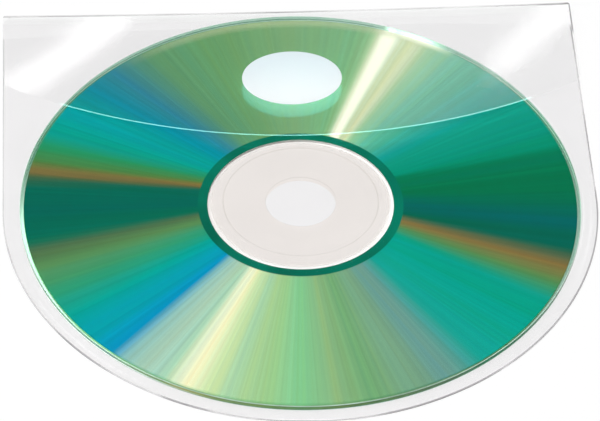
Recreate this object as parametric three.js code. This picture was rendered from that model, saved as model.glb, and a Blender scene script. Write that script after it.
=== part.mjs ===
// A clear CD sleeve with a disc in it, lying flat with its flap closed.
// Millimetres. The sleeve lies on its back film at Z = 0, +Z is up, the fold is toward +Y
// and the round end toward -Y. The origin is under the middle of the sleeve.

import * as THREE from 'three';

// Disc sizes
const discRadius = 60;
const discThickness = 1.2;
const discHoleRadius = 7.5;
const discEdgeChamfer = 0.12;
const stackingRingRadius = 16.9;
const stackingRingWidth = 1.2;
const stackingRingHeight = 0.2;
const stackingRingCrownWidth = 0.48;
const mouldGrooveRadius = 10.8;
const mouldGrooveWidth = 0.6;
const mouldGrooveDepth = 0.15;
const dataInnerRadius = 19.9;
const clearRimWidth = 0.8;
const dataLayerThickness = 0.05;
const dataLayerEdgeClearance = 0.05;

// Film sizes
const filmThickness = 0.15;
const weldWidth = 1;
const discSideClearance = 2.7;
const discEndClearance = 2.2;
const discFoldClearance = 0.2;
const filmOverDiscClearance = 0.15;
const mouthSetback = 5.5;

// Flap sizes
const flapLength = 42.5;
const flapSideLength = 24.9;
const flapCornerRadius = 2.5;
const flapOverFilmClearance = 0.3;
const flapLift = 0.4;
const foldCornerRadius = 1.6;

// Sticker sizes
const stickerWidth = 22;
const stickerLength = 17.5;
const stickerThickness = 0.1;
const stickerSetback = 23.3;
const stickerGlueGap = 0.02;

// Numbers of facets
const discSegments = 96;
const roundEndSteps = 40;
const sideSteps = 12;
const mouthSteps = 24;
const foldSteps = 10;
const flapEdgeSteps = 24;
const cornerSteps = 5;
const stickerSegments = 48;

// Sizes that follow from those above
const dataOuterRadius = discRadius - clearRimWidth;
const pocketHeight = discThickness + stackingRingHeight + filmOverDiscClearance;
const frontFilmTop = 2 * filmThickness + pocketHeight;
const foldRadius = (frontFilmTop + flapOverFilmClearance + filmThickness) / 2;
const halfWidth = discRadius + discSideClearance + weldWidth;
const discCentreToRoundEnd = discRadius + discEndClearance + weldWidth;
const discCentreToFold = discRadius + discFoldClearance + foldRadius;
const sleeveLength = discCentreToRoundEnd + discCentreToFold;
const foldY = sleeveLength / 2;
const foldAxisY = foldY - foldRadius;
const discCentreY = foldY - discCentreToFold;
const roundEndCentreY = halfWidth - sleeveLength / 2;
const mouthY = foldY - mouthSetback;

// Materials
function filmMaterial() {
  return new THREE.MeshStandardMaterial({
    color: 0xeceaea, roughness: 0.12, metalness: 0, transparent: true, opacity: 0.3,
  });
}

const discMaterial = new THREE.MeshStandardMaterial({
  color: 0xe4e8e4, roughness: 0.05, metalness: 0, transparent: true, opacity: 0.35,
});
const dataLayerMaterial = new THREE.MeshStandardMaterial({
  color: 0x0f9a86, roughness: 0.18, metalness: 0.9,
});
const stickerMaterial = new THREE.MeshStandardMaterial({
  color: 0xf7fafc, roughness: 0.45, metalness: 0,
});

// A closed body through a row of rings with the same number of points. The first and last
// rings are closed by fans from two poles. The rings run counterclockwise about the way
// from the first pole to the last.
function loftBody(rings, firstPole, lastPole) {
  const count = rings[0].length;
  const points = [firstPole, ...rings.flat(), lastPole];
  const last = points.length - 1;
  const at = (ring, i) => 1 + ring * count + (i % count);
  const triangles = [];
  for (let i = 0; i < count; i++) {
    triangles.push(0, at(0, i + 1), at(0, i));
    triangles.push(last, at(rings.length - 1, i), at(rings.length - 1, i + 1));
  }
  for (let ring = 0; ring + 1 < rings.length; ring++) {
    for (let i = 0; i < count; i++) {
      triangles.push(at(ring, i), at(ring, i + 1), at(ring + 1, i + 1));
      triangles.push(at(ring, i), at(ring + 1, i + 1), at(ring + 1, i));
    }
  }
  const geometry = new THREE.BufferGeometry();
  const coordinates = points.flatMap((p) => [p.x, p.y, p.z]);
  geometry.setAttribute('position', new THREE.Float32BufferAttribute(coordinates, 3));
  geometry.setIndex(triangles);
  geometry.computeVertexNormals();
  return geometry;
}

// Back film, fold and flap

// How far the side edge turns in near the fold, where the sleeve's corners are rounded.
function cornerInset(y) {
  const intoCorner = Math.max(0, foldCornerRadius - (foldY - y));
  return foldCornerRadius - Math.sqrt(foldCornerRadius ** 2 - intoCorner ** 2);
}

// The back panel from the middle of the round end up to the fold, as places on the film's
// middle surface. turn is the angle by which the film has turned up.
function backPanelRows() {
  const rows = [];
  for (let i = 0; i <= roundEndSteps; i++) {
    const angle = (Math.PI / 2) * Math.max(i / roundEndSteps, 0.02);
    const y = roundEndCentreY - halfWidth * Math.cos(angle);
    rows.push({ y, z: filmThickness / 2, turn: 0, half: halfWidth * Math.sin(angle) });
  }
  rows.push({ y: foldY - foldCornerRadius, z: filmThickness / 2, turn: 0, half: halfWidth });
  return rows;
}

// The flap springs up a little at the fold, so the fold turns by less than half a circle.
const flapSlope = Math.atan2(flapLift, flapLength - foldRadius);
const foldTurn = Math.PI - flapSlope;

function foldRows() {
  const rows = [];
  const middleRadius = foldRadius - filmThickness / 2;
  for (let i = 0; i <= foldSteps; i++) {
    const turn = (foldTurn * i) / foldSteps;
    const y = foldAxisY + middleRadius * Math.sin(turn);
    const z = foldRadius - middleRadius * Math.cos(turn);
    const outerY = foldAxisY + foldRadius * Math.sin(turn);
    rows.push({ y, z, turn, half: halfWidth - cornerInset(outerY) });
  }
  return rows;
}

// The flap's free edge is one wide arc with a small round corner at each side.
const flapTipY = foldY - flapLength;
const flapArcDepth = flapLength - flapSideLength;
const flapArcRadius = (halfWidth ** 2 + flapArcDepth ** 2) / (2 * flapArcDepth);
const flapArcCentreY = flapTipY + flapArcRadius;

function flapEdge() {
  const edge = [{ y: foldY - foldCornerRadius, half: halfWidth }];
  const cornerX = halfWidth - flapCornerRadius;
  const toCorner = flapArcRadius - flapCornerRadius;
  const cornerY = flapArcCentreY - Math.sqrt(toCorner ** 2 - cornerX ** 2);
  const meet = Math.acos(cornerX / toCorner);
  for (let i = 0; i < cornerSteps; i++) {
    const angle = (meet * i) / cornerSteps;
    const half = cornerX + flapCornerRadius * Math.cos(angle);
    edge.push({ y: cornerY - flapCornerRadius * Math.sin(angle), half });
  }
  for (let i = 0; i <= flapEdgeSteps; i++) {
    const share = Math.min(i / flapEdgeSteps, 0.99);
    const angle = meet + (Math.PI / 2 - meet) * share;
    const half = flapArcRadius * Math.cos(angle);
    edge.push({ y: flapArcCentreY - flapArcRadius * Math.sin(angle), half });
  }
  return edge;
}

// The height of the flap's middle surface at a place y, going out from the end of the fold.
function flapHeight(y) {
  const end = foldRows().at(-1);
  return end.z + (end.y - y) * Math.tan(flapSlope);
}

function flapRows() {
  return flapEdge().map(({ y, half }) => ({ y, z: flapHeight(y), turn: foldTurn, half }));
}

function foldedFilm() {
  const rows = [...backPanelRows(), ...foldRows(), ...flapRows()];
  const rings = rows.map(({ y, z, turn, half }) => {
    const across = new THREE.Vector3(0, -Math.sin(turn), Math.cos(turn));
    const inner = new THREE.Vector3(0, y, z).addScaledVector(across, filmThickness / 2);
    const outer = new THREE.Vector3(0, y, z).addScaledVector(across, -filmThickness / 2);
    return [
      new THREE.Vector3(half, outer.y, outer.z),
      new THREE.Vector3(-half, outer.y, outer.z),
      new THREE.Vector3(-half, inner.y, inner.z),
      new THREE.Vector3(half, inner.y, inner.z),
    ];
  });
  const middle = ({ y, z }) => new THREE.Vector3(0, y, z);
  return loftBody(rings, middle(rows[0]), middle(rows.at(-1)));
}

// Front film

// The outline of the front film: round end, right side, mouth and left side,
// counterclockwise from the left side's lower end as seen from above.
function frontOutline() {
  const outline = [];
  for (let i = 0; i < 2 * roundEndSteps; i++) {
    const angle = (Math.PI * i) / (2 * roundEndSteps);
    const y = roundEndCentreY - halfWidth * Math.sin(angle);
    outline.push({ x: -halfWidth * Math.cos(angle), y });
  }
  for (let i = 0; i < sideSteps; i++) {
    const y = roundEndCentreY + ((mouthY - roundEndCentreY) * i) / sideSteps;
    outline.push({ x: halfWidth, y });
  }
  for (let i = 0; i < mouthSteps; i++) {
    outline.push({ x: halfWidth - (2 * halfWidth * i) / mouthSteps, y: mouthY });
  }
  for (let i = 0; i < sideSteps; i++) {
    const y = mouthY + ((roundEndCentreY - mouthY) * i) / sideSteps;
    outline.push({ x: -halfWidth, y });
  }
  return outline;
}

// How far a place lies inside the inner edge of the weld.
function distanceFromWeld(x, y) {
  const reach = y > roundEndCentreY ? Math.abs(x) : Math.hypot(x, y - roundEndCentreY);
  return Math.max(0, halfWidth - weldWidth - reach);
}

// How far the front film stands above the back film: nothing at the weld, the pocket's full
// height over the disc, and a smooth tent between them.
function filmRise(x, y) {
  const fromWeld = distanceFromWeld(x, y);
  const fromDisc = Math.max(0, Math.hypot(x, y - discCentreY) - discRadius);
  const share = fromDisc === 0 ? 1 : fromWeld / (fromWeld + fromDisc);
  return pocketHeight * THREE.MathUtils.smoothstep(share, 0, 1);
}

// Places from one point of the outline in toward the disc's middle: the outline, the weld's
// inner edge, steps across the tent, the disc's rim and one ring on the flat over the disc.
const tentShares = [0, 0.25, 0.5, 0.75, 1];
const flatShare = 0.9;

function placesInward({ x, y }) {
  const ray = new THREE.Vector2(x, y - discCentreY);
  const reach = ray.length();
  const onSide = y < mouthY || Math.abs(x) === halfWidth;
  const sideways = y > roundEndCentreY ? Math.abs(x) / reach : 1;
  const start = reach - (onSide ? weldWidth / sideways : weldWidth / 2);
  const rim = Math.min(discRadius, start - weldWidth / 2);
  const lengths = [reach, ...tentShares.map((share) => start + (rim - start) * share), rim * flatShare];
  return lengths.map((length) => {
    const place = ray.clone().multiplyScalar(length / reach);
    return { x: place.x, y: place.y + discCentreY };
  });
}

function frontFilm() {
  const rays = frontOutline().map(placesInward);
  const levels = rays[0].map((_, level) => level);
  const ring = (level, offset) => rays.map((places) => {
    const { x, y } = places[level];
    return new THREE.Vector3(x, y, filmThickness + filmRise(x, y) + offset);
  });
  const under = levels.map((level) => ring(level, 0)).reverse();
  const over = levels.map((level) => ring(level, filmThickness));
  const middleOfDisc = (offset) => new THREE.Vector3(0, discCentreY, filmThickness + pocketHeight + offset);
  return loftBody([...under, ...over], middleOfDisc(0), middleOfDisc(filmThickness));
}

// Disc and its data layer

// A revolved ring from a closed profile of [radius, height], standing along +Z.
function revolve(profile) {
  const points = [...profile, profile[0]].map(([r, h]) => new THREE.Vector2(r, h));
  return new THREE.LatheGeometry(points, discSegments).rotateX(Math.PI / 2);
}

function discGeometry() {
  const ringInner = stackingRingRadius - stackingRingWidth / 2;
  const ringOuter = stackingRingRadius + stackingRingWidth / 2;
  const ringTop = discThickness + stackingRingHeight;
  const ringCrown = stackingRingCrownWidth / 2;
  const grooveInner = mouldGrooveRadius - mouldGrooveWidth / 2;
  const grooveOuter = mouldGrooveRadius + mouldGrooveWidth / 2;
  return revolve([
    [discHoleRadius + discEdgeChamfer, 0],
    [grooveInner, 0],
    [mouldGrooveRadius, mouldGrooveDepth],
    [grooveOuter, 0],
    [dataInnerRadius, 0],
    [dataInnerRadius, dataLayerThickness],
    [dataOuterRadius, dataLayerThickness],
    [dataOuterRadius, 0],
    [discRadius - discEdgeChamfer, 0],
    [discRadius, discEdgeChamfer],
    [discRadius, discThickness - discEdgeChamfer],
    [discRadius - discEdgeChamfer, discThickness],
    [ringOuter, discThickness],
    [stackingRingRadius + ringCrown, ringTop],
    [stackingRingRadius - ringCrown, ringTop],
    [ringInner, discThickness],
    [discHoleRadius + discEdgeChamfer, discThickness],
    [discHoleRadius, discThickness - discEdgeChamfer],
    [discHoleRadius, discEdgeChamfer],
  ]);
}

function dataLayerGeometry() {
  const inner = dataInnerRadius + dataLayerEdgeClearance;
  const outer = dataOuterRadius - dataLayerEdgeClearance;
  return revolve([
    [inner, 0],
    [outer, 0],
    [outer, dataLayerThickness],
    [inner, dataLayerThickness],
  ]);
}

// Sticker

// The oval lies on the flap's outer face, tilted as the flap is.
function stickerGeometry() {
  const oval = new THREE.Shape();
  oval.absellipse(0, 0, stickerWidth / 2, stickerLength / 2, 0, 2 * Math.PI);
  const options = { depth: stickerThickness, bevelEnabled: false, curveSegments: stickerSegments };
  return new THREE.ExtrudeGeometry(oval, options);
}

function placeSticker(sticker) {
  const y = foldY - stickerSetback;
  const above = filmThickness / 2 + stickerGlueGap;
  sticker.rotation.x = -flapSlope;
  sticker.position.set(0, y, flapHeight(y) + above / Math.cos(flapSlope));
}

// The whole sleeve

const sleeve = new THREE.Group();

function addPiece(name, geometry, material) {
  const piece = new THREE.Mesh(geometry, material);
  piece.name = name;
  sleeve.add(piece);
  return piece;
}

addPiece('back_film_with_flap', foldedFilm(), filmMaterial());
addPiece('front_film', frontFilm(), filmMaterial());

const disc = addPiece('disc', discGeometry(), discMaterial);
disc.position.set(0, discCentreY, filmThickness);

const dataLayer = addPiece('disc_data_layer', dataLayerGeometry(), dataLayerMaterial);
dataLayer.position.copy(disc.position);

const sticker = addPiece('flap_sticker', stickerGeometry(), stickerMaterial);
placeSticker(sticker);

export default sleeve;
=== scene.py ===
"""A clear CD sleeve lying flat with a recordable disc in it, seen from the front and above.

All lengths are metres. The sleeve lies on its back film at Z = 0, +Y is toward the fold.
"""
import math
import bpy
from mathutils import Matrix, Vector


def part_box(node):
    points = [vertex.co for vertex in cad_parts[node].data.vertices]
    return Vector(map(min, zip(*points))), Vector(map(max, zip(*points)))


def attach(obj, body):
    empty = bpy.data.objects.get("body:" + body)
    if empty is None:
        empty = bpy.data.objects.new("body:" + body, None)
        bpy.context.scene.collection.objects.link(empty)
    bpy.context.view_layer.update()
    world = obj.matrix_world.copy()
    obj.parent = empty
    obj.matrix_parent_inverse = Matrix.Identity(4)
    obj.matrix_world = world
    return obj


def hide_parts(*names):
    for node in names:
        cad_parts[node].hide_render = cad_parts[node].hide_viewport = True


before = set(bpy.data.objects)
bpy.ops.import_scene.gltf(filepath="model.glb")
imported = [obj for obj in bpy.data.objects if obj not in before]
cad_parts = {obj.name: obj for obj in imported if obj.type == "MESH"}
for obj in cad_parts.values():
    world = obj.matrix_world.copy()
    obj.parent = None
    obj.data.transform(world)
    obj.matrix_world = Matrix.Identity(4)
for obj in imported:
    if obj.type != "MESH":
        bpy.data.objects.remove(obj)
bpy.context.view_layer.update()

MM = 0.001

# Where the photograph's camera stands, fitted to the disc's outlines in it
CAMERA_YAW = math.radians(3.61)
CAMERA_PITCH = math.radians(44.05)
CAMERA_ROLL = math.radians(1.01)
CAMERA_DISTANCE = 857.4 * MM
CAMERA_TARGET = Vector((-0.2 * MM, -0.44 * MM, 0.0))
SENSOR_WIDTH_MM = 36.0
IMAGE_WIDTH_PX = 600
FOCAL_LENGTH_PX = 4011

# Places taken from the solids
FILM_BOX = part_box("back_film_with_flap")
FRONT_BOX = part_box("front_film")
DISC_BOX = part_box("disc")
DATA_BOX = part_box("disc_data_layer")
STICKER_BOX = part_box("flap_sticker")
HALF_WIDTH = FILM_BOX[1][0]
FOLD_Y = FILM_BOX[1][1]
ROUND_END_Y = -FOLD_Y
ROUND_CENTRE_Y = ROUND_END_Y + HALF_WIDTH
MOUTH_Y = FRONT_BOX[1][1]
DISC_RADIUS = DISC_BOX[1][0]
DISC_CENTRE = Vector((0.0, (DISC_BOX[0][1] + DISC_BOX[1][1]) / 2, DISC_BOX[0][2]))
DATA_OUTER = DATA_BOX[1][0]

# Film sizes, as in the solids
FILM = 0.15 * MM
WELD = 1.0 * MM
FOLD_RADIUS = 1.15 * MM
FOLD_CORNER = 1.6 * MM
POCKET_HEIGHT = FRONT_BOX[1][2] - 2 * FILM
FLAP_LENGTH = 42.5 * MM
FLAP_SIDE_LENGTH = 24.9 * MM
FLAP_CORNER = 2.5 * MM
FLAP_LIFT = 0.4 * MM
CONTACT_GAP = 0.01 * MM

# Disc sizes, as in the solids
DISC_THICKNESS = 1.2 * MM
HOLE_RADIUS = 7.5 * MM
RING_RADIUS = 16.9 * MM
RING_WIDTH = 1.2 * MM
RING_HEIGHT = 0.2 * MM
DATA_INNER = 19.95 * MM
COLOUR_INNER = 22.0 * MM
EDGE_ROUND = 0.12 * MM
GROOVE_RADIUS = 10.8 * MM
GROOVE_WIDTH = 0.6 * MM
GROOVE_DEPTH = 0.15 * MM

# How wide the hub's outer edge glints
HUB_GLINT_WIDTH = 2.0 * MM

# The disc's plastic makes the recording layer look raised, so it is drawn up to this height
LAYER_TOP = 0.6 * MM


def linear(*srgb):
    """A colour given as 0 to 255 display values, as a linear RGBA."""
    channels = [value / 255 for value in srgb]
    return tuple(c / 12.92 if c <= 0.04045 else ((c + 0.055) / 1.055) ** 2.4 for c in channels) + (1.0,)


def grey(level):
    return (level, level, level, 1.0)


BLACK = grey(0.0)
WHITE = grey(1.0)

# What one face of clear film or plastic reflects when seen from straight above, and how
# steeply that grows toward a grazing angle
SURFACE_MIRROR = 0.013
GRAZING_POWER = 5.0


# Node building

class Material:
    """A node material with short calls for its nodes and links."""

    def __init__(self, name):
        self.material = bpy.data.materials.new(name)
        self.material.use_nodes = True
        self.tree = self.material.node_tree
        self.tree.nodes.clear()

    def node(self, kind, inputs=None, **settings):
        made = self.tree.nodes.new(kind)
        for key, value in settings.items():
            setattr(made, key, value)
        for key, value in (inputs or {}).items():
            self.feed(made.inputs[key], value)
        return made

    def feed(self, socket, value):
        if isinstance(value, bpy.types.NodeSocket):
            self.tree.links.new(value, socket)
        else:
            socket.default_value = value

    def math(self, operation, *values, clamp=False):
        inputs = dict(enumerate(values))
        return self.node("ShaderNodeMath", inputs, operation=operation, use_clamp=clamp).outputs[0]

    def vector(self, operation, *values):
        """Vector math whose result is a vector."""
        return self.node("ShaderNodeVectorMath", dict(enumerate(values)), operation=operation).outputs[0]

    def scaled(self, vector, factor):
        return self.node("ShaderNodeVectorMath", {0: vector, 3: factor}, operation="SCALE").outputs[0]

    def length(self, vector):
        return self.node("ShaderNodeVectorMath", {0: vector}, operation="LENGTH").outputs["Value"]

    def parts(self, vector):
        """A vector's x, y and z."""
        return self.node("ShaderNodeSeparateXYZ", {0: vector}).outputs

    def joined(self, x, y, z=0.0):
        return self.node("ShaderNodeCombineXYZ", {0: x, 1: y, 2: z}).outputs[0]

    def position(self):
        return self.node("ShaderNodeTexCoord").outputs["Object"]

    def noise(self, vector, scale, detail=2.0, roughness=0.5):
        inputs = {"Vector": vector, "Scale": scale, "Detail": detail, "Roughness": roughness}
        return self.node("ShaderNodeTexNoise", inputs).outputs["Fac"]

    def spread(self, value, low_in, high_in, low_out, high_out, smooth=False):
        inputs = {
            "Value": value, "From Min": low_in, "From Max": high_in, "To Min": low_out, "To Max": high_out,
        }
        kind = "SMOOTHSTEP" if smooth else "LINEAR"
        return self.node("ShaderNodeMapRange", inputs, interpolation_type=kind).outputs["Result"]

    def rise(self, value, none_at, full_at):
        """Softly from zero at one value to one at the other."""
        return self.spread(value, none_at, full_at, 0.0, 1.0, smooth=True)

    def fall(self, value, full_at, none_at):
        """Softly from one at one value to zero at the other."""
        return self.spread(value, full_at, none_at, 1.0, 0.0, smooth=True)

    def ramp(self, value, stops):
        made = self.node("ShaderNodeValToRGB", {"Fac": value})
        set_stops(made, stops)
        return made.outputs["Color"]

    def blend(self, factor, first, second, mode="MIX"):
        made = self.node("ShaderNodeMix", data_type="RGBA", blend_type=mode)
        for name, value in (("Factor_Float", factor), ("A_Color", first), ("B_Color", second)):
            self.feed(next(s for s in made.inputs if s.identifier == name), value)
        return next(s for s in made.outputs if s.identifier == "Result_Color")

    def tinted(self, colour, tint):
        return self.blend(1.0, colour, tint, "MULTIPLY")

    def bump(self, height, strength, distance):
        inputs = {"Height": height, "Strength": strength, "Distance": distance}
        return self.node("ShaderNodeBump", inputs).outputs["Normal"]

    def mirror_share(self, normal=None):
        """How much a clear surface reflects: little from above, all at a grazing angle."""
        inputs = {"Blend": 0.5}
        if normal is not None:
            inputs["Normal"] = normal
        facing = self.node("ShaderNodeLayerWeight", inputs).outputs["Facing"]
        return self.spread(self.math("POWER", facing, GRAZING_POWER), 0.0, 1.0, SURFACE_MIRROR, 1.0)

    def clear(self, tint):
        return self.node("ShaderNodeBsdfTransparent", {"Color": tint}).outputs[0]

    def matte(self, colour):
        return self.node("ShaderNodeBsdfDiffuse", {"Color": colour}).outputs[0]

    def gloss(self, roughness, colour=WHITE, normal=None, **settings):
        inputs = {"Color": colour, "Roughness": roughness}
        if normal is not None:
            inputs["Normal"] = normal
        return self.node("ShaderNodeBsdfGlossy", inputs, **settings).outputs[0]

    def mix_shader(self, factor, first, second):
        return self.node("ShaderNodeMixShader", {0: factor, 1: first, 2: second}).outputs[0]

    def add_shader(self, first, second):
        return self.node("ShaderNodeAddShader", {0: first, 1: second}).outputs[0]

    def finish(self, shader):
        self.node("ShaderNodeOutputMaterial", {"Surface": shader})
        return self.material


def set_stops(ramp_node, stops):
    elements = ramp_node.color_ramp.elements
    while len(elements) < len(stops):
        elements.new(0.5)
    for element, (place, colour) in zip(elements, stops):
        element.position = place
        element.color = colour


# Film materials

# The flap's free edge is an arc about this place, as in the solids
ARC_DEPTH = FLAP_LENGTH - FLAP_SIDE_LENGTH
ARC_RADIUS = (HALF_WIDTH ** 2 + ARC_DEPTH ** 2) / (2 * ARC_DEPTH)
ARC_CENTRE_Y = FOLD_Y - FLAP_LENGTH + ARC_RADIUS

# In the photograph the flap lies a little askew: its edge is moved by the first value, less
# the second times the place across
FLAP_SKEW = (0.5 * MM, 0.022)

# The fold bows out by this much toward the sleeve's corners, starting at this Y
FOLD_BOW = 0.7 * MM
BOW_START_Y = 35 * MM

# Over the disc the flap's cut edge and a narrow strip beside it get a painted glint
EDGE_GLINT = (0.16, 0.38, 0.36, 1.0)
EDGE_GLINT_WIDTH = 0.2 * MM

# Painted shade: where film bends or ends it is drawn with this grey
FILM_SHADE = linear(150, 148, 150)

# The fold's crease gets painted shade between these heights, and most of all between the middle two
CREASE_HEIGHTS = (1.7 * MM, 1.85 * MM, 2.08 * MM, 2.25 * MM)

# It shows in patches, which join up between these places toward the right corner
CREASE_PATCHES = (0.1, 0.9)
CREASE_JOINS_X = (54 * MM, 58 * MM)

# How wide the film's side edge gets painted shade at the fold's right corner, by how much and from where
SIDE_LINE_WIDTH = 0.28 * MM
SIDE_LINE_SHARE = 0.75
SIDE_LINE_Y = (51 * MM, 55 * MM)

# The welded edge gets painted shade in patches too, which join up toward the fold and are faint at the
# left
WELD_SHADE = linear(176, 174, 176)
WELD_PATCHES = (0.15, 0.85)
WELD_JOINS_Y = (54 * MM, 58 * MM)
WELD_FAINT_X = (-HALF_WIDTH, -0.9 * HALF_WIDTH)
WELD_FAINTEST = 0.08

# Scales of the noises on the films and on the disc's clear edges, in waves to the metre
RIPPLE_SCALE = 38.0
CLOUD_SCALE = 70.0
CREASE_SCALE = 30.0
EDGE_SCALE = 45.0
PLASTIC_SCALE = 60.0

RIPPLE_STRENGTH = 0.5
RIPPLE_HEIGHT = 0.04 * MM

# What a milky film spreads back, and between which places its milkiness changes
MILK = linear(250, 252, 252)
MILK_X = (-20 * MM, 40 * MM)

# The least and the most that each film lets through
BACK_TINTS = ((0.97, 0.967, 0.969, 1.0), (0.978, 0.975, 0.977, 1.0))
FRONT_TINTS = ((0.988, 0.987, 0.988, 1.0), (0.994, 0.993, 0.994, 1.0))
FLAP_TINTS = (grey(0.986), grey(0.993))


def over_disc(m, place):
    """One above the disc, where an edge's painted glint shows against the dark colours, and zero beside
    it.
    """
    off_middle = m.vector("SUBTRACT", place, DISC_CENTRE)
    reach = m.length(m.vector("MULTIPLY", off_middle, (1.0, 1.0, 0.0)))
    return m.math("LESS_THAN", reach, DISC_RADIUS)


def along_flap_edge(m, place):
    """One over the disc on the strip beside the flap's cut edge."""
    x, y, _ = m.parts(place)
    straight = m.math("ADD", y, m.math("MULTIPLY", x, FLAP_SKEW[1]))
    up = m.math("SUBTRACT", straight, FLAP_SKEW[0] + ARC_CENTRE_Y)
    at_edge = m.math("GREATER_THAN", m.length(m.joined(x, up)), ARC_RADIUS - EDGE_GLINT_WIDTH)
    return m.math("MULTIPLY", at_edge, over_disc(m, place))


def along_side(m, place):
    """How much painted shade the film's side edge gets at the fold's right corner."""
    x, y, _ = m.parts(place)
    at_side = m.math("GREATER_THAN", x, HALF_WIDTH - SIDE_LINE_WIDTH)
    return m.math("MULTIPLY", at_side, m.spread(y, *SIDE_LINE_Y, 0.0, SIDE_LINE_SHARE, smooth=True))


def along_crease(m, place):
    """How much painted shade the fold's crease gets."""
    x, _, height = m.parts(place)
    foot, low, high, head = CREASE_HEIGHTS
    below = m.spread(height, foot, low, 0.0, 1.0)
    above = m.spread(height, high, head, 1.0, 0.0)
    patches = m.spread(m.noise(place, CREASE_SCALE), 0.35, 0.6, *CREASE_PATCHES, smooth=True)
    patches = m.math("MAXIMUM", patches, m.rise(x, *CREASE_JOINS_X))
    return m.math("MULTIPLY", m.math("MULTIPLY", below, above), patches)


def clear_film(name, tints, milk, roughness, edge_glint=False, side_line=False, crease=False):
    """Clear film: it tints what is behind it, is a little milky and has a soft gloss.

    Milk is its milkiness at the left and at the right.
    """
    m = Material(name)
    place = m.position()
    normal = m.bump(m.noise(place, RIPPLE_SCALE, 1.0), RIPPLE_STRENGTH, RIPPLE_HEIGHT)
    cloud = m.noise(place, CLOUD_SCALE, 3.0)
    milkiness = m.spread(m.parts(place)[0], *MILK_X, *milk, smooth=True)
    milkiness = m.math("MULTIPLY", milkiness, m.spread(cloud, 0.2, 0.8, 0.8, 1.2))
    body = m.mix_shader(milkiness, m.clear(m.blend(cloud, *tints)), m.matte(MILK))
    if edge_glint:
        glinting = m.add_shader(body, m.matte(EDGE_GLINT))
        body = m.mix_shader(along_flap_edge(m, place), body, glinting)
    if side_line:
        body = m.mix_shader(along_side(m, place), body, m.matte(FILM_SHADE))
    if crease:
        body = m.mix_shader(along_crease(m, place), body, m.matte(FILM_SHADE))
    gloss = m.gloss(roughness, normal=normal, distribution="BECKMANN")
    return m.finish(m.mix_shader(m.mirror_share(normal), body, gloss))


def welded_edge():
    """The sleeve's outer edge, with painted shade in stretches."""
    m = Material("welded_edge")
    place = m.position()
    x, y, _ = m.parts(place)
    share = m.spread(m.noise(place, EDGE_SCALE), 0.4, 0.6, *WELD_PATCHES, smooth=True)
    share = m.math("MAXIMUM", share, m.rise(y, *WELD_JOINS_Y))
    share = m.math("MULTIPLY", share, m.spread(x, *WELD_FAINT_X, WELD_FAINTEST, 1.0))
    return m.finish(m.mix_shader(share, m.clear(grey(0.95)), m.matte(WELD_SHADE)))


def flap_cut_edge():
    """The flap's cut edge, with a painted glint that shows over the dark disc only."""
    m = Material("flap_cut_edge")
    place = m.position()
    patches = m.spread(m.noise(place, EDGE_SCALE), 0.35, 0.65, 0.7, 1.0)
    patches = m.math("MULTIPLY", patches, over_disc(m, place))
    return m.finish(m.add_shader(m.clear(grey(0.97)), m.matte(m.blend(patches, BLACK, EDGE_GLINT))))


BACK_FILM = clear_film("back_film_clear", BACK_TINTS, milk=(0.002, 0.002), roughness=0.5)
FRONT_FILM = clear_film("front_film_clear", FRONT_TINTS, milk=(0.0005, 0.0005), roughness=0.2)
FLAP_FILM = clear_film("flap_film_clear", FLAP_TINTS, milk=(0.002, 0.055), roughness=0.065,
                       edge_glint=True, side_line=True)
FOLD_FILM = clear_film("fold_film_clear", FLAP_TINTS, milk=(0.002, 0.01), roughness=0.3,
                       side_line=True, crease=True)
OUTER_EDGE = welded_edge()
FLAP_EDGE = flap_cut_edge()


# Disc materials

# The ring's fields of colour by angle, counterclockwise from +X, as display values that were
# set to match the photograph: first the near side, then the side toward the fold
# These fields are partly the layer's own green and partly painted light: the pale, cream and white ones
# stand in for the disc's diffraction glare
SECTORS = [
    (-180, "dark teal", (0, 104, 88)),
    (-172, "dark green", (0, 112, 84)),
    (-169, "moss", (84, 114, 74)),
    (-164, "leaf", (96, 146, 84)),
    (-157, "jade", (52, 160, 116)),
    (-149, "teal", (0, 168, 150)),
    (-140, "sea blue", (0, 162, 184)),
    (-135, "azure", (0, 150, 198)),
    (-131.5, "ice", (150, 198, 192)),
    (-126, "pale mint", (176, 210, 190)),
    (-122, "mint", (178, 214, 176)),
    (-119, "cream", (244, 244, 206)),
    (-116.5, "cream", (250, 248, 206)),
    (-113, "lemon", (214, 232, 174)),
    (-108, "lime", (176, 216, 174)),
    (-101, "spring", (168, 210, 148)),
    (-93, "mint", (134, 206, 152)),
    (-85, "olive", (148, 186, 130)),
    (-78, "grass", (116, 174, 122)),
    (-72, "sage", (126, 172, 136)),
    (-60, "lilac grey", (112, 160, 150)),
    (-53, "bright teal", (20, 168, 154)),
    (-40, "emerald", (0, 168, 150)),
    (-30, "jade", (0, 164, 138)),
    (-25, "moss", (84, 146, 84)),
    (-20, "amber", (148, 116, 58)),
    (-15, "deep teal", (0, 102, 76)),
    (-6, "night teal", (0, 104, 98)),
    (3, "bottle green", (0, 118, 74)),
    (15, "bottle green", (0, 124, 84)),
    (18, "viridian", (0, 150, 116)),
    (34, "viridian", (18, 162, 146)),
]
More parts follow.
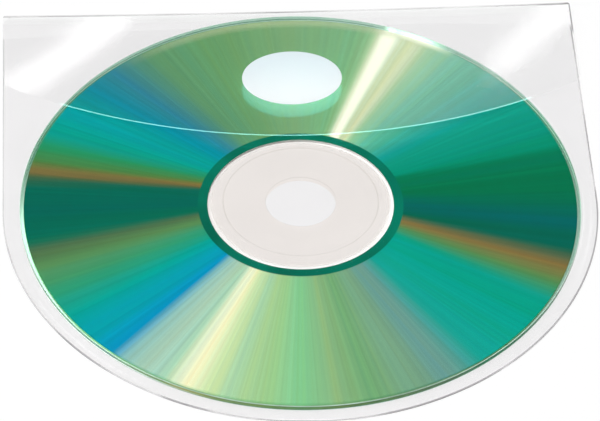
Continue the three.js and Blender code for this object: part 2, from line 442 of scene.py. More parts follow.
FAR_SECTORS = [
    (34, "viridian", (18, 162, 146)),
    (40, "sea green", (64, 174, 150)),
    (50, "mint", (112, 194, 160)),
    (57, "pale mint", (160, 210, 166)),
    (61, "cream", (222, 228, 190)),
    (64.3, "lime", (206, 224, 180)),
    (66.3, "white", (255, 255, 236)),
    (68.3, "white", (255, 255, 232)),
    (70.8, "lime", (150, 198, 134)),
    (74, "meadow", (122, 186, 124)),
    (90, "olive green", (128, 176, 118)),
    (110, "fern", (112, 166, 108)),
    (122, "grey green", (100, 158, 116)),
    (131, "slate blue", (56, 140, 156)),
    (138, "petrol", (0, 146, 166)),
    (147, "sea teal", (0, 162, 162)),
    (154, "jade", (0, 162, 144)),
    (159, "moss", (40, 150, 96)),
    (163.5, "leaf", (82, 132, 64)),
    (166.5, "amber", (146, 112, 58)),
    (168.5, "brown", (86, 104, 62)),
    (170.5, "dark teal", (0, 106, 84)),
    (180, "dark teal", (0, 104, 88)),
]

# The fields meet this far off the disc's middle, and their angles are those at this radius
FIELD_OFFSET = 3.2 * MM
FIELD_RADIUS = 40 * MM

# How far the fields' borders waver, as a share of the whole turn
FIELD_WAVER = 0.004

# The painted white streak of glare: its angle and half its width in degrees, and those of the painted
# flare on the rim
STREAK = (67.0, 2.8)
FLARE = (61.5, 10.5)

# Both are at full strength within this share of their width. The streak is weaker at the
# hub, and the flare grows between two radii
STREAK_CORE = 0.2
STREAK_AT_HUB = 0.85
FLARE_RADII = (57.4 * MM, 59.0 * MM)

# Glare is brighter than white paper
STREAK_COLOUR = (1.7, 1.68, 1.4, 1.0)

# Fineness of the rays: in the fields' borders, the fine ones, the broad ones and the band's
BORDER_RAYS = 14.0
FINE_RAYS = 60.0
BROAD_RAYS = 11.0
BAND_RAYS = 1.4

# Painted sheen: toward the fold the layer is drawn paler near the rim, between these radii and by this
# share
RIM_SHEEN = linear(236, 240, 196)
RIM_SHEEN_RADII = (56.3 * MM, 58.6 * MM)
RIM_SHEEN_SHARE = 0.45

# The dark band inside the colours, and how soft its border is
BAND_COLOURS = (linear(0, 120, 94), linear(0, 146, 118))
BAND_BLUR = 0.15 * MM

# How much of the recording layer's light is mirrored rather than spread by its grooves, how
# rough that mirror is, and its tint with the share of it
MIRROR_PART = 0.3
MIRROR_ROUGHNESS = 0.13
MIRROR_TINT = linear(70, 226, 255)
MIRROR_TINT_SHARE = 0.88

# In front the rim's wall shows the layer's colours with this tint, a painted refraction with painted
# shade. At the back its inside shows painted shade below and painted light above, going from one colour to
# another between two heights
WALL_TINT = linear(186, 188, 140)
WALL_HEIGHTS = (0.3 * MM, 0.5 * MM)
WALL_INSIDE = (linear(58, 146, 112), linear(196, 236, 216))

# What the wall lets through, and its painted colours in the streak and in the glint at the left
WALL_CLEAR = linear(214, 242, 228)
WALL_STREAK = (1.8, 1.95, 1.95, 1.0)
WALL_GLINT = (1.4, 1.6, 1.5, 1.0)

# How rough the disc's clear faces and its wall are
PLASTIC_ROUGHNESS = 0.06
WALL_ROUGHNESS = 0.08

# How much the hub's outer edge glints, by the angle in degrees
HUB_GLINTS = [(-180, 0.55), (-133.2, 0.8), (-111.6, 1.0), (-90, 0.8), (-36, 0.9), (18, 1.0), (61.2, 0.95),
              (93.6, 0.5), (144, 0.45), (180, 0.55)]
HUB_GLINT_COLOUR = (0.99, 1.0, 1.0, 1.0)

# That glint sets in and is full at these shares of its width inward of the layer, and on the
# near side it lies further in by this much
HUB_GLINT_RAMP = (0.45, 0.1)
HUB_GLINT_INSET = 0.75 * MM


def around_share(angle):
    """An angle in degrees as the nodes have it: 0 to 1 for -180 to 180."""
    return (angle + 180) / 360


def angle_stops(sectors):
    return [(around_share(angle), linear(*colour)) for angle, _, colour in sectors]


def around_and_out(m):
    """The angle about the disc's middle as 0 to 1, the distance from it and its direction."""
    x, y, _ = m.parts(m.position())
    flat = m.joined(x, y)
    turn = m.math("ARCTAN2", y, x)
    return m.spread(turn, -math.pi, math.pi, 0.0, 1.0), m.length(flat), m.vector("NORMALIZE", flat)


def ray_noise(m, direction, fineness, detail=2.0, roughness=0.5):
    """Noise by direction alone, which makes rays."""
    return m.noise(m.scaled(direction, fineness), 1.0, detail, roughness)


def sector_colour(m, around, radius, direction):
    """The ring's colour fields, which run out from a point a little off the disc's middle."""
    across = m.parts(direction)[0]
    nearness = m.math("SUBTRACT", m.math("DIVIDE", 1.0, radius), 1 / FIELD_RADIUS)
    lean = m.math("MULTIPLY", m.math("MULTIPLY", across, nearness), FIELD_OFFSET / (2 * math.pi))
    waver = m.spread(ray_noise(m, direction, BORDER_RAYS, 3.0), 0.0, 1.0, -FIELD_WAVER, FIELD_WAVER)
    turned = m.math("SUBTRACT", m.math("ADD", around, waver), lean)
    near = m.ramp(turned, angle_stops(SECTORS))
    far = m.ramp(turned, angle_stops(FAR_SECTORS))
    on_far_side = m.math("GREATER_THAN", turned, around_share(FAR_SECTORS[0][0]))
    return m.blend(on_far_side, near, far)


def near_angle(m, around, middle, half_width):
    """One at an angle, falling to zero at half its width."""
    away = m.math("ABSOLUTE", m.math("SUBTRACT", around, around_share(middle)))
    return m.fall(away, STREAK_CORE * half_width / 360, half_width / 360)


def streak_light(m, around, radius):
    """One in the middle of the white streak, weaker toward the hub, and on the rim's flare."""
    growing = m.spread(radius, COLOUR_INNER, DATA_OUTER, STREAK_AT_HUB, 1.0)
    streak = m.math("MULTIPLY", near_angle(m, around, *STREAK), growing)
    flare = m.math("MULTIPLY", near_angle(m, around, *FLARE), m.rise(radius, *FLARE_RADII))
    return m.math("MAXIMUM", streak, flare)


def ray_tints(m, direction):
    """What the rays multiply the colours by: fine ones in brightness, as painted streaks of light, broad
    ones in warmth.
    """
    light = m.spread(ray_noise(m, direction, FINE_RAYS, 4.0, 0.7), 0.3, 0.7, 1.24, 1.52)
    broad = ray_noise(m, direction, BROAD_RAYS, 3.0, 0.7)
    red = m.math("MULTIPLY", light, m.spread(broad, 0.35, 0.65, 0.92, 1.08))
    blue = m.math("MULTIPLY", light, m.spread(broad, 0.35, 0.65, 1.14, 0.92))
    return m.joined(red, light, blue)


def data_layer_material():
    """The mirror-like recording layer: colour fields by angle over fine grooves, partly its own green and
    partly painted light.
    """
    m = Material("recording_layer")
    around, radius, direction = around_and_out(m)
    colour = m.tinted(sector_colour(m, around, radius, direction), ray_tints(m, direction))
    colour = m.blend(streak_light(m, around, radius), colour, STREAK_COLOUR)
    far_rim_sheen = m.spread(radius, *RIM_SHEEN_RADII, 0.0, RIM_SHEEN_SHARE, smooth=True)
    far_rim_sheen = m.math("MULTIPLY", far_rim_sheen, m.rise(m.parts(direction)[1], 0.74, 0.96))
    colour = m.blend(far_rim_sheen, colour, RIM_SHEEN)
    in_band = m.fall(radius, COLOUR_INNER - BAND_BLUR, COLOUR_INNER + BAND_BLUR)
    band_noise = m.spread(ray_noise(m, direction, BAND_RAYS), 0.35, 0.65, 0.0, 1.0)
    colour = m.blend(in_band, colour, m.blend(band_noise, *BAND_COLOURS))
    mirror = m.gloss(MIRROR_ROUGHNESS, m.blend(MIRROR_TINT_SHARE, colour, MIRROR_TINT))
    return m.finish(m.mix_shader(MIRROR_PART, m.matte(colour), mirror))


def label_material():
    """The plain lacquered label side, which shows from below."""
    m = Material("plain_label_side")
    grain = m.noise(m.position(), 900.0)
    colour = m.blend(grain, linear(206, 208, 208), linear(220, 221, 220))
    shader = m.node("ShaderNodeBsdfPrincipled", {"Base Color": colour, "Metallic": 0.3, "Roughness": 0.35})
    return m.finish(shader.outputs[0])


def disc_clear_material(name, tint_low, tint_high):
    """Clear moulded plastic of the disc."""
    m = Material(name)
    cloud = m.noise(m.position(), PLASTIC_SCALE)
    through = m.clear(m.blend(cloud, tint_low, tint_high))
    return m.finish(m.mix_shader(m.mirror_share(), through, m.gloss(PLASTIC_ROUGHNESS)))


def disc_wall_material():
    """The disc's outer wall, with painted light: the layer's colour in front and pale at the back."""
    m = Material("disc_rim_wall")
    around, radius, direction = around_and_out(m)
    to_right, to_back, _ = m.parts(direction)
    height = m.parts(m.position())[2]
    at_back = m.rise(to_back, -0.2, 0.5)
    up_wall = m.spread(height, *WALL_HEIGHTS, 0.0, 1.0)
    lit = streak_light(m, around, radius)
    left_glint = m.math("MULTIPLY", m.rise(to_right, -0.3, -0.7), m.rise(to_back, 0.25, -0.1))
    left_glint = m.math("MULTIPLY", left_glint, m.spread(height, 0.4 * MM, 0.55 * MM, 1.0, 0.0))
    from_layer = m.tinted(sector_colour(m, around, radius, direction), WALL_TINT)
    colour = m.blend(at_back, from_layer, m.blend(up_wall, *WALL_INSIDE))
    colour = m.blend(lit, colour, WALL_STREAK)
    colour = m.blend(left_glint, colour, WALL_GLINT)
    front_share = m.math("MAXIMUM", m.spread(height, 0.2 * MM, 0.35 * MM, 0.3, 0.85), left_glint)
    back_share = m.math("MAXIMUM", m.spread(up_wall, 0.0, 1.0, 0.85, 0.3), lit)
    difference = m.math("SUBTRACT", back_share, front_share)
    share = m.math("ADD", front_share, m.math("MULTIPLY", at_back, difference))
    body = m.mix_shader(share, m.clear(WALL_CLEAR), m.matte(colour))
    return m.finish(m.mix_shader(m.mirror_share(), body, m.gloss(WALL_ROUGHNESS)))


def pale_edge_material(name, clear_tint, glint_colour, low, high):
    """An edge of the disc that glints in stretches."""
    m = Material(name)
    share = m.spread(m.noise(m.position(), PLASTIC_SCALE), 0.35, 0.65, low, high)
    return m.finish(m.mix_shader(share, m.clear(clear_tint), m.matte(glint_colour)))


def hub_edge_material():
    """The hub's outer edge, which glints white, most of all in front and at the right."""
    m = Material("hub_edge_glint")
    around, radius, direction = around_and_out(m)
    inset = m.spread(m.parts(direction)[1], 0.3, -0.5, 0.0, HUB_GLINT_INSET, smooth=True)
    ramp = [DATA_INNER - share * HUB_GLINT_WIDTH for share in HUB_GLINT_RAMP]
    outward = m.rise(m.math("ADD", radius, inset), *ramp)
    glints = m.ramp(around, [(around_share(angle), grey(level)) for angle, level in HUB_GLINTS])
    share = m.math("MULTIPLY", outward, glints)
    return m.finish(m.mix_shader(share, m.clear(linear(254, 252, 250)), m.matte(HUB_GLINT_COLOUR)))


def sticker_material():
    """Coated white paper that lets some light through, a touch cooler toward the fold as a painted
    reflection.
    """
    m = Material("oval_sticker_paper")
    place = m.position()
    painted_reflection = m.rise(m.parts(place)[1], STICKER_BOX[0][1], STICKER_BOX[1][1])
    colour = m.blend(painted_reflection, linear(247, 246, 247), linear(227, 233, 238))
    normal = m.bump(m.noise(place, 1400.0, 3.0), 0.15, 0.02 * MM)
    shader = m.node("ShaderNodeBsdfPrincipled", {
        "Base Color": colour, "Roughness": 0.42, "Normal": normal,
        "Coat Weight": 0.15, "Coat Roughness": 0.2,
    }).outputs[0]
    glow = m.node("ShaderNodeBsdfTranslucent", {"Color": linear(236, 240, 246)}).outputs[0]
    return m.finish(m.mix_shader(0.4, shader, glow))


# Mesh building

def in_scene(name, data):
    """A new object of some data, in the scene."""
    made = bpy.data.objects.new(name, data)
    bpy.context.scene.collection.objects.link(made)
    return made


def mesh_object(name, points, faces, materials, face_slots, sharp_degrees=30.0):
    mesh = bpy.data.meshes.new(name)
    mesh.from_pydata(points, [], faces)
    for material in materials:
        mesh.materials.append(material)
    mesh.polygons.foreach_set("material_index", face_slots)
    mesh.shade_smooth()
    mesh.set_sharp_from_angle(angle=math.radians(sharp_degrees))
    mesh.validate()
    return in_scene(name, mesh)


def loft(rings, first_pole, last_pole, slot_of):
    """Points, faces and slots of a closed body through rings of equal length."""
    count = len(rings[0])
    top = len(rings) - 1
    points = [first_pole] + [p for ring in rings for p in ring] + [last_pole]
    last = len(points) - 1
    faces = []
    slots = []

    def at(ring, i):
        return 1 + ring * count + i % count

    for i in range(count):
        faces.append((0, at(0, i + 1), at(0, i)))
        slots.append(slot_of(-1, i))
        faces.append((last, at(top, i), at(top, i + 1)))
        slots.append(slot_of(top, i))
    for ring in range(top):
        for i in range(count):
            faces.append((at(ring, i), at(ring, i + 1), at(ring + 1, i + 1), at(ring + 1, i)))
            slots.append(slot_of(ring, i))
    return points, faces, slots


def dress(piece, node):
    """Lets a piece stand in for a node of the part, which moves with the root."""
    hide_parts(node)
    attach(piece, "root")
    return piece


# Back film with fold and flap

def corner_inset(y):
    """How far the fold's rounded corner takes the side in."""
    into = max(0.0, FOLD_CORNER - (FOLD_Y - y))
    return FOLD_CORNER - math.sqrt(FOLD_CORNER ** 2 - into ** 2)


FLAP_SLOPE = math.atan2(FLAP_LIFT, FLAP_LENGTH - FOLD_RADIUS)
FOLD_TURN = math.pi - FLAP_SLOPE

# The outlines begin and end at these shares of their way, so that no row has zero width
BACK_START = 0.02
FLAP_END = 0.99


def back_rows(steps=90):
    """The back panel's rows: each has its Y, height, turn about the fold and half width."""
    rows = []
    for i in range(steps + 1):
        angle = math.pi / 2 * max(i / steps, BACK_START)
        y = ROUND_CENTRE_Y - HALF_WIDTH * math.cos(angle)
        rows.append((y, FILM / 2, 0.0, HALF_WIDTH * math.sin(angle)))
    rows.append((FOLD_Y - FOLD_CORNER, FILM / 2, 0.0, HALF_WIDTH))
    return rows


def fold_rows(steps=24):
    rows = []
    middle = FOLD_RADIUS - FILM / 2
    for i in range(steps + 1):
        turn = FOLD_TURN * i / steps
        y = FOLD_Y - FOLD_RADIUS + middle * math.sin(turn)
        z = FOLD_RADIUS - middle * math.cos(turn)
        outer_y = FOLD_Y - FOLD_RADIUS + FOLD_RADIUS * math.sin(turn)
        rows.append((y, z, turn, HALF_WIDTH - corner_inset(outer_y)))
    return rows


def flap_height(y):
    """The height of the flap's middle, which rises from the fold to its free edge."""
    end = fold_rows()[-1]
    return end[1] + (end[0] - y) * math.tan(FLAP_SLOPE)


def flap_rows(corner_steps=8, edge_steps=60):
    edge = [(FOLD_Y - FOLD_CORNER, HALF_WIDTH)]
    corner_x = HALF_WIDTH - FLAP_CORNER
    to_corner = ARC_RADIUS - FLAP_CORNER
    corner_y = ARC_CENTRE_Y - math.sqrt(to_corner ** 2 - corner_x ** 2)
    meet = math.acos(corner_x / to_corner)
    for i in range(corner_steps):
        angle = meet * i / corner_steps
        edge.append((corner_y - FLAP_CORNER * math.sin(angle), corner_x + FLAP_CORNER * math.cos(angle)))
    for i in range(edge_steps + 1):
        angle = meet + (math.pi / 2 - meet) * min(i / edge_steps, FLAP_END)
        edge.append((ARC_CENTRE_Y - ARC_RADIUS * math.sin(angle), ARC_RADIUS * math.cos(angle)))
    return [(y, flap_height(y), FOLD_TURN, half) for y, half in edge]


def in_plane(x, y, along_flap):
    """A place of the folded film, with the fold's bow and the flap's skew."""
    toward_fold = (y - BOW_START_Y) / (FOLD_Y - FOLD_CORNER - BOW_START_Y)
    toward_fold = min(1.0, max(0.0, toward_fold))
    bow = FOLD_BOW * (x / HALF_WIDTH) ** 2 * toward_fold
    return x, y + bow + along_flap * (FLAP_SKEW[0] - FLAP_SKEW[1] * x)


def folded_film(across_steps=16):
    backs, folds, flaps = back_rows(), fold_rows(), flap_rows()
    rows = backs + folds + flaps
    first_fold = len(backs)
    first_flap = len(backs) + len(folds) - 1
    rings = []
    for row, (y, z, turn, half) in enumerate(rows):
        along_flap = min(1.0, (FOLD_Y - y) / FLAP_SIDE_LENGTH) if row > first_flap else 0.0
        thick = Vector((0.0, -math.sin(turn), math.cos(turn))) * (FILM / 2)
        places = [half * (1 - 2 * i / across_steps) for i in range(across_steps + 1)]
        ring = []
        for side, xs in ((-thick, places), (thick, places[::-1])):
            for x in xs:
                ring.append((*in_plane(x, y + side.y, along_flap), z + side.z))
        rings.append(ring)
    back_slot, flap_slot, outer_edge, flap_edge, fold_slot = range(5)

    def slot_of(ring, side):
        on_wall = side in (across_steps, 2 * across_steps + 1)
        if ring < first_fold:
            return outer_edge if on_wall or ring < 0 else back_slot
        if ring >= len(rows) - 1:
            return flap_edge
        if ring < first_flap:
            return outer_edge if on_wall else fold_slot
        if on_wall:
            return outer_edge if ring <= first_flap + 1 else flap_edge
        return flap_slot

    first_pole = (0.0, rows[0][0], rows[0][1])
    last_pole = (*in_plane(0.0, rows[-1][0], 1.0), rows[-1][1])
    points, faces, slots = loft(rings, first_pole, last_pole, slot_of)
    materials = [BACK_FILM, FLAP_FILM, OUTER_EDGE, FLAP_EDGE, FOLD_FILM]
    piece = mesh_object("folded_film", points, faces, materials, slots)
    return dress(piece, "back_film_with_flap")


# Front film

# Steps of its outline along the round end, each straight side and the mouth
ROUND_STEPS = 180
SIDE_STEPS = 36
MOUTH_STEPS = 72


def front_outline():
    outline = []
    for i in range(ROUND_STEPS):
        angle = math.pi * i / ROUND_STEPS
        outline.append((-HALF_WIDTH * math.cos(angle), ROUND_CENTRE_Y - HALF_WIDTH * math.sin(angle)))
    side = MOUTH_Y - ROUND_CENTRE_Y
    outline += [(HALF_WIDTH, ROUND_CENTRE_Y + side * i / SIDE_STEPS) for i in range(SIDE_STEPS)]
    outline += [(HALF_WIDTH - 2 * HALF_WIDTH * i / MOUTH_STEPS, MOUTH_Y) for i in range(MOUTH_STEPS)]
    outline += [(-HALF_WIDTH, MOUTH_Y - side * i / SIDE_STEPS) for i in range(SIDE_STEPS)]
    return outline


def film_rise(x, y):
    """How far the front film stands above the back film."""
    reach = abs(x) if y > ROUND_CENTRE_Y else math.hypot(x, y - ROUND_CENTRE_Y)
    from_weld = max(0.0, HALF_WIDTH - WELD - reach)
    from_disc = max(0.0, math.hypot(x, y - DISC_CENTRE.y) - DISC_RADIUS)
    share = 1.0 if from_disc == 0 else from_weld / (from_weld + from_disc)
    return POCKET_HEIGHT * share * share * (3 - 2 * share)


def inward_places(x, y, tent_steps=10, flat_steps=3, part=0.3):
    """Places from the outline toward the disc's middle: over the weld, the slope and the disc."""
    dx, dy = x, y - DISC_CENTRE.y
    reach = math.hypot(dx, dy)
    at_mouth = y >= MOUTH_Y and abs(x) < HALF_WIDTH
    sideways = abs(x) / reach if y > ROUND_CENTRE_Y else 1.0
    start = reach - (WELD / 2 if at_mouth else WELD / sideways)
    rim = min(DISC_RADIUS, start - WELD / 2)
    lengths = [reach, reach - part * (reach - start)]
    lengths += [start + (rim - start) * i / tent_steps for i in range(tent_steps + 1)]
    lengths += [rim * (1 - part * i) for i in range(1, flat_steps + 1)]
    return [(dx * s / reach, DISC_CENTRE.y + dy * s / reach) for s in lengths]


def front_film():
    rays = [inward_places(x, y) for x, y in front_outline()]
    levels = range(len(rays[0]))
    base = FILM + CONTACT_GAP

    def ring(level, offset):
        return [(x, y, base + film_rise(x, y) + offset) for x, y in (places[level] for places in rays)]

    thickness = FILM - CONTACT_GAP
    rings = [ring(level, 0.0) for level in reversed(levels)] + [ring(level, thickness) for level in levels]
    wall = len(levels) - 1
    film, edge = range(2)
    round_and_side = ROUND_STEPS + SIDE_STEPS
    mouth_end = round_and_side + MOUTH_STEPS

    def slot_of(level, i):
        near_edge = wall - 1 <= level <= wall + 1
        at_mouth = round_and_side <= i < mouth_end
        return edge if near_edge and not at_mouth else film

    centre = [(0.0, DISC_CENTRE.y, base + POCKET_HEIGHT + offset) for offset in (0.0, thickness)]
    points, faces, slots = loft(rings, *centre, slot_of)
    piece = mesh_object("pocket_front", points, faces, [FRONT_FILM, OUTER_EDGE], slots)
    return dress(piece, "front_film")


# Disc

# The steps of the stacking ring that get painted shade, a little darker, on its inner slope
RING_SLOPE_STEPS = (5, 6)


def revolve(name, profile, materials, slots, segments=288, sharp_degrees=40.0):
    """A closed ring from a profile of radius and height, at the disc's place."""
    points = []
    for i in range(segments):
        angle = 2 * math.pi * i / segments
        points += [(r * math.cos(angle), r * math.sin(angle), h) for r, h in profile]
    count = len(profile)
    faces = []
    face_slots = []
    for i in range(segments):
        near, far = i * count, (i + 1) % segments * count
        for k in range(count):
            follow = (k + 1) % count
            faces.append((near + k, far + k, far + follow, near + follow))
            face_slots.append(slots[k])
    piece = mesh_object(name, points, faces, materials, face_slots, sharp_degrees)
    piece.location = DISC_CENTRE
    return piece


def quarter(centre_r, centre_h, radius, start, steps=4):
    """A rounded edge of the profile, from the start angle on by a quarter turn."""
    arc = []
    for i in range(steps + 1):
        angle = math.radians(start + 90 * i / steps)
        arc.append((centre_r + radius * math.cos(angle), centre_h + radius * math.sin(angle)))
    return arc


def disc(ring_steps=8):
    """The clear disc, as a profile that starts at the hole's foot and runs outward below."""
    clear, warm, wall, glint, over_data, hub_edge, ring_slope = range(7)
    top = DISC_THICKNESS
    bottom = 2 * CONTACT_GAP
    recess = LAYER_TOP + CONTACT_GAP
    lip = DATA_INNER - CONTACT_GAP
    e = EDGE_ROUND
    profile = []
    slots = []

    def run(points, slot):
        profile.extend(points)
        slots.extend([slot] * len(points))

    run([(HOLE_RADIUS + e, bottom), (GROOVE_RADIUS - GROOVE_WIDTH / 2, bottom)], warm)
    run([(GROOVE_RADIUS, bottom + GROOVE_DEPTH), (GROOVE_RADIUS + GROOVE_WIDTH / 2, bottom)], warm)
    run([(lip - HUB_GLINT_WIDTH, bottom), (lip, bottom), (lip, recess)], hub_edge)
    slots[-1] = warm
    run([(DATA_OUTER + CONTACT_GAP, recess), (DATA_OUTER + CONTACT_GAP, bottom)], clear)
    slots[-1] = wall
    run(quarter(DISC_RADIUS - e, bottom + e, e, -90), glint)
    slots[-1] = wall
    run(quarter(DISC_RADIUS - e, top - e, e, 0), glint)
    slots[-1] = clear
    run([(DATA_OUTER, top)], over_data)
    run([(DATA_INNER, top)], warm)
    for i in range(ring_steps + 1):
        share = i / ring_steps
        r = RING_RADIUS + RING_WIDTH * (0.5 - share)
        rise = RING_HEIGHT * math.sin(math.pi * share) ** 2
        run([(r, top + rise)], ring_slope if i in RING_SLOPE_STEPS else warm)
    slots[-1] = warm
    # The hole's rounded top edge gets the same painted shade
    run(quarter(HOLE_RADIUS + e, top - e, e, 90), ring_slope)
    slots[-1] = warm
    run([(HOLE_RADIUS, bottom + e)], warm)
    materials = [
        disc_clear_material("disc_clear_rim", linear(228, 245, 238), linear(236, 249, 243)),
        disc_clear_material("disc_clear_hub", linear(253, 251, 249), linear(255, 253, 251)),
        disc_wall_material(),
        pale_edge_material("disc_edge_glint", linear(220, 244, 232), linear(228, 255, 240), 0.45, 0.95),
        disc_clear_material("disc_clear_window", linear(250, 253, 252), linear(252, 254, 253)),
        hub_edge_material(),
        disc_clear_material("stacking_ring_painted_shade", linear(240, 237, 233), linear(251, 249, 246)),
    ]
    return dress(revolve("disc_plastic", profile, materials, slots), "disc")


def data_layer():
    """The recording layer, drawn up to the height where the plastic makes it look."""
    radii = [DATA_INNER, (DATA_INNER + DATA_OUTER) / 2, DATA_OUTER]
    profile = [(r, CONTACT_GAP) for r in radii] + [(r, LAYER_TOP) for r in reversed(radii)]
    recording, label, outer_lip_glint, hub_edge = range(4)
    slots = [label, label, outer_lip_glint, recording, recording, hub_edge]
    # The layer's outer edge is drawn with a pale painted glint
    lip = pale_edge_material("recording_layer_lip_glint", linear(220, 244, 232), linear(216, 242, 184), 0.7, 1.0)
    materials = [data_layer_material(), label_material(), lip, hub_edge_material()]
    piece = revolve("recording_layer", profile, materials, slots)
    return dress(piece, "disc_data_layer")


# Sticker

STICKER_THICKNESS = 0.1 * MM


def sticker(segments=128):
    """The plain oval, with a slightly rounded cut edge, lying on the tilted flap."""
    half_x = STICKER_BOX[1][0]
    half_y = (STICKER_BOX[1][1] - STICKER_BOX[0][1]) / 2
    centre_y = (STICKER_BOX[1][1] + STICKER_BOX[0][1]) / 2
    top = STICKER_THICKNESS
    e = top / 3
    sections = [(e, 0.0), (0.0, e), (0.0, top - e), (e, top), (3 * e, top)]
    foot = flap_height(centre_y) + FILM / 2 + 2 * CONTACT_GAP

    def place(inset, height, angle):
        x = (half_x - inset) * math.cos(angle)
        across = (half_y - inset) * math.sin(angle)
        return (x, centre_y + across, foot + height - across * math.tan(FLAP_SLOPE))

    rings = []
    for inset, height in sections:
        rings.append([place(inset, height, 2 * math.pi * i / segments) for i in range(segments)])
    poles = [(0.0, centre_y, foot), (0.0, centre_y, foot + top)]
    points, faces, slots = loft(rings, *poles, lambda ring, i: 0)
    piece = mesh_object("oval_sticker", points, faces, [sticker_material()], slots, sharp_degrees=50.0)
    piece.visible_shadow = False
    return dress(piece, "flap_sticker")


# Floor, light and camera

# The floor reaches this far each way, just below the sleeve
FLOOR_HALF = 3.0
FLOOR_Z = -0.05 * MM

# How much of the floor's look is plain white where it is seen, rather than lit paper
FLOOR_WHITE = 0.8


def studio_floor():
    m = Material("studio_floor")
    path = m.node("ShaderNodeLightPath")
    seen = m.math("ADD", path.outputs["Is Camera Ray"], path.outputs["Is Glossy Ray"])
    seen = m.math("ADD", seen, path.outputs["Is Transmission Ray"], clamp=True)
    grain = m.noise(m.position(), 3.0)
    paper = m.blend(grain, linear(240, 240, 240), linear(243, 243, 243))
    white = m.node("ShaderNodeEmission", {"Color": WHITE, "Strength": 1.0}).outputs[0]
    material = m.finish(m.mix_shader(m.math("MULTIPLY", seen, FLOOR_WHITE), m.matte(paper), white))
    mesh = bpy.data.meshes.new("floor")
    corners = [(x * FLOOR_HALF, y * FLOOR_HALF, FLOOR_Z) for x, y in ((-1, -1), (1, -1), (1, 1), (-1, 1))]
    mesh.from_pydata(corners, [], [(0, 1, 2, 3)])
    mesh.materials.append(material)
    in_scene("floor", mesh)


# How bright the studio is by height above the horizon, as the sine of the angle: pale walls,
# a dark band behind the lamps and a pale ceiling
STUDIO_BANDS = [(0.0, 0.45), (0.25, 0.4), (0.42, 0.04), (0.84, 0.04), (0.93, 0.3), (1.0, 0.3)]


def studio_world():
    """Soft light from all round, and plain white to the camera."""
    world = bpy.data.worlds.new("studio")
    world.use_nodes = True
    tree = world.node_tree
    tree.nodes.clear()
    output = tree.nodes.new("ShaderNodeOutputWorld")
    direction = tree.nodes.new("ShaderNodeTexCoord").outputs["Generated"]
    parts = tree.nodes.new("ShaderNodeSeparateXYZ")
    tree.links.new(direction, parts.inputs[0])
    bands = tree.nodes.new("ShaderNodeValToRGB")
    tree.links.new(parts.outputs[2], bands.inputs[0])
    set_stops(bands, [(height, grey(level)) for height, level in STUDIO_BANDS])
    soft = tree.nodes.new("ShaderNodeBackground")
    tree.links.new(bands.outputs[0], soft.inputs["Color"])
    white = tree.nodes.new("ShaderNodeBackground")
    white.inputs["Color"].default_value = WHITE
    path = tree.nodes.new("ShaderNodeLightPath")
    mix = tree.nodes.new("ShaderNodeMixShader")
    tree.links.new(path.outputs["Is Camera Ray"], mix.inputs[0])
    tree.links.new(soft.outputs[0], mix.inputs[1])
    tree.links.new(white.outputs[0], mix.inputs[2])
    tree.links.new(mix.outputs[0], output.inputs["Surface"])
    bpy.context.scene.world = world


def lamp_object(name, size_x, size_y, brightness, matrix):
    """A rectangular lamp of an even brightness, where 1 is as bright as white paper."""
    light = bpy.data.lights.new(name, "AREA")
    light.shape = "RECTANGLE"
    light.size = size_x
    light.size_y = size_y
    light.energy = brightness * math.pi * size_x * size_y
    lamp = in_scene(name, light)
    lamp.matrix_world = matrix
    return lamp


# Square soft lamps that face the sleeve: place and size in metres, and brightness
OVERHEAD = ("overhead", (-0.1, -0.15, 1.1), 1.0, 4.05)
LEFT_REAR = ("left_rear", (-0.72, 0.12, 0.86), 0.5, 3.6)
RIGHT_REAR = ("right_rear", (0.8, 0.6, 0.5), 0.4, 2.6)


def softbox(name, place, size, brightness):
    aim = (-Vector(place)).to_track_quat("-Z", "Y")
    return lamp_object(name, size, size, brightness, Matrix.Translation(place) @ aim.to_matrix().to_4x4())


# Strip lamps whose reflections cross the flap's two corners: where each starts and ends on
# the flap and its width there, all in mm, and its brightness
STRIP_REACH = 900 * MM
STRIPS = [
    ("left_strip", (-67.0, 29.5), (-36.5, 65.5), 4.3, 14.0),
    ("right_strip", (44.0, 39.5), (65.0, 63.0), 3.2, 14.0),
]


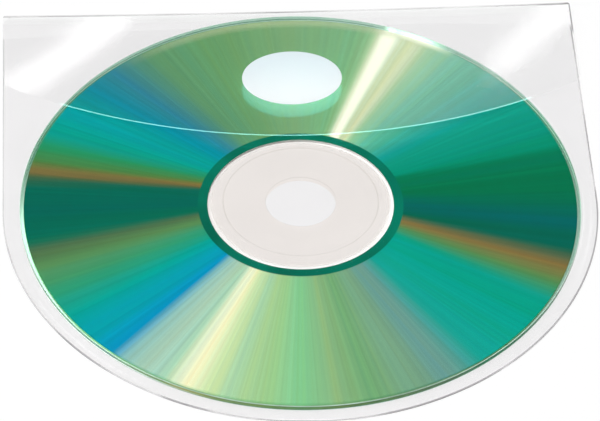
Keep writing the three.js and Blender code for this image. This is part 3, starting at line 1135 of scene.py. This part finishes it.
def strip_lamp(only_for, name, start, end, width, brightness):
    """A strip lamp that is seen reflected in the flap from one place to another."""
    eye = CAMERA_TARGET - camera_basis()[0] * CAMERA_DISTANCE
    normal = Vector((0.0, math.tan(FLAP_SLOPE), 1.0)).normalized()

    def mirrored(x, y):
        place = Vector((x * MM, y * MM, flap_height(y * MM) + FILM / 2))
        ray = (place - eye).normalized()
        return place, place + (ray - 2 * ray.dot(normal) * normal) * STRIP_REACH

    first_place, first = mirrored(*start)
    last_place, last = mirrored(*end)
    middle = (first + last) / 2
    along = (last - first).normalized()
    away = (middle - (first_place + last_place) / 2).normalized()
    away = (away - away.dot(along) * along).normalized()
    turned = Matrix((along, away.cross(along), away)).transposed().to_4x4()
    spread = (last - first).length / (last_place - first_place).length
    size = (last - first).length, width * MM * spread
    lamp = lamp_object(name, *size, brightness, Matrix.Translation(middle) @ turned)
    lamp.light_linking.receiver_collection = only_for


def studio_lights(outer_film):
    """The lamps. The overhead one isn't mirrored, or it would wash the disc out from above."""
    overhead = softbox(*OVERHEAD)
    overhead.visible_glossy = False
    softbox(*LEFT_REAR)
    softbox(*RIGHT_REAR)
    films = bpy.data.collections.new("lit_by_strips")
    films.objects.link(outer_film)
    for strip in STRIPS:
        strip_lamp(films, *strip)


def camera_basis():
    """The photograph's camera: the way it looks, its right and its up."""
    cy, sy = math.cos(CAMERA_YAW), math.sin(CAMERA_YAW)
    cp, sp = math.cos(CAMERA_PITCH), math.sin(CAMERA_PITCH)
    forward = Vector((sy * cp, cy * cp, -sp))
    level_right = Vector((cy, -sy, 0.0))
    level_up = level_right.cross(forward)
    cr, sr = math.cos(CAMERA_ROLL), math.sin(CAMERA_ROLL)
    return forward, cr * level_right + sr * level_up, cr * level_up - sr * level_right


def photo_camera():
    camera = bpy.data.cameras.new("camera")
    camera.sensor_fit = "HORIZONTAL"
    camera.sensor_width = SENSOR_WIDTH_MM
    camera.lens = FOCAL_LENGTH_PX / IMAGE_WIDTH_PX * SENSOR_WIDTH_MM
    camera.clip_start = 0.01
    camera.clip_end = 20.0
    forward, right, up = camera_basis()
    place = CAMERA_TARGET - forward * CAMERA_DISTANCE
    seen_from = in_scene("camera", camera)
    turned = Matrix((right, up, -forward)).transposed().to_4x4()
    seen_from.matrix_world = Matrix.Translation(place) @ turned
    bpy.context.scene.camera = seen_from


photo_camera()
studio_floor()
studio_world()
outer_film = folded_film()
front_film()
disc()
data_layer()
sticker()
studio_lights(outer_film)

scene = bpy.context.scene
scene.view_settings.view_transform = "Standard"

# A look across the sleeve passes through many clear faces
scene.cycles.transparent_max_bounces = 32
